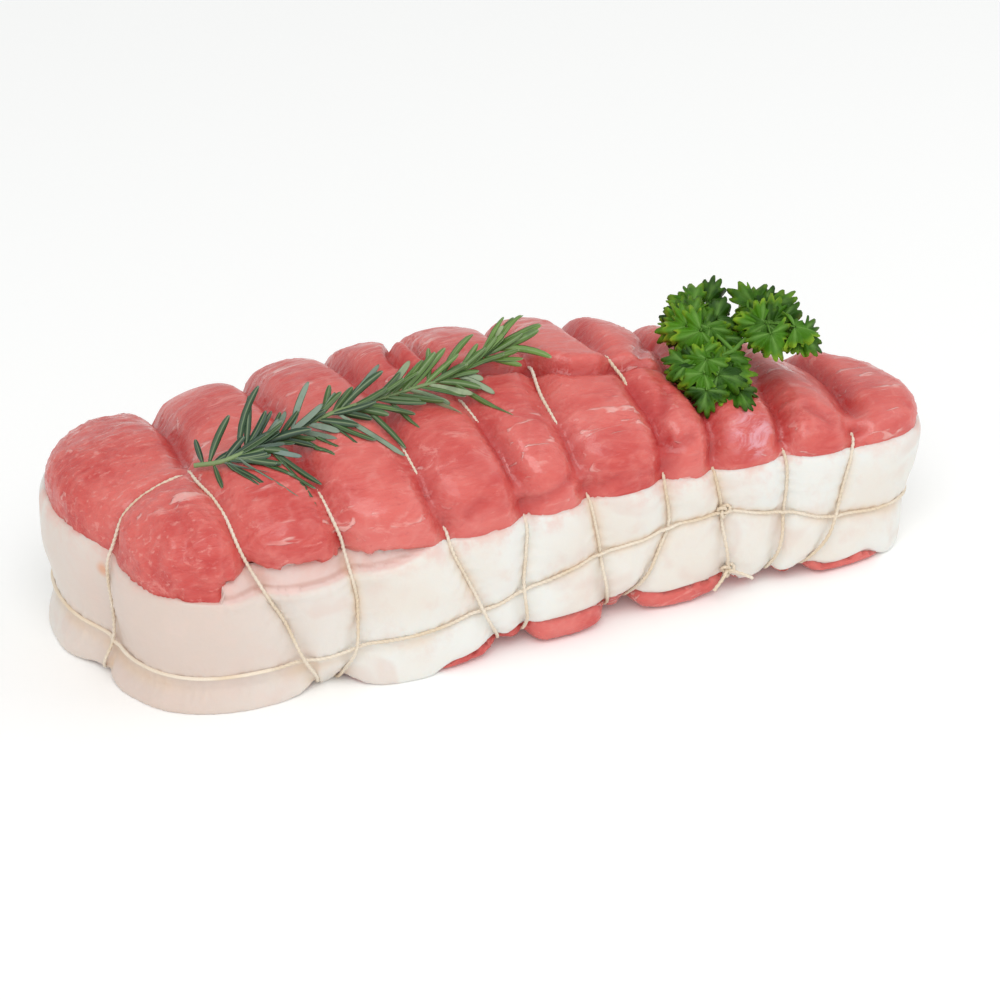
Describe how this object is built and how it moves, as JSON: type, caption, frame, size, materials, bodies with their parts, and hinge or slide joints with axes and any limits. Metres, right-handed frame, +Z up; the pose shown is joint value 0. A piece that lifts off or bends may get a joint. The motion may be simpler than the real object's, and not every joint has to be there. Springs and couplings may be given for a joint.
{
  "type": "veal roast",
  "caption": "Boned and rolled veal roast wrapped in a sheet of fat, tied with cotton string and topped with rosemary and parsley sprigs.",
  "frame": {"origin": "middle of the length and depth of the whole, on the flat underside of the meat", "axes": "+X along the length of the roast towards its tapered end, +Y from the front side to the back, +Z up from the surface it lies on"},
  "size_m": [0.2772, 0.1108, 0.0888],
  "materials": {
    "meat": "moist raw veal",
    "fat": "smooth soft fat",
    "string": "twisted cotton",
    "rosemary": "leathery leaf",
    "parsley": "fresh leaf"
  },
  "bodies": {
    "root": {"meat": "meat", "fat_band": "fat", "twine": "string", "rosemary_sprig": "rosemary", "parsley_sprig": "parsley"}
  },
  "joints": []
}
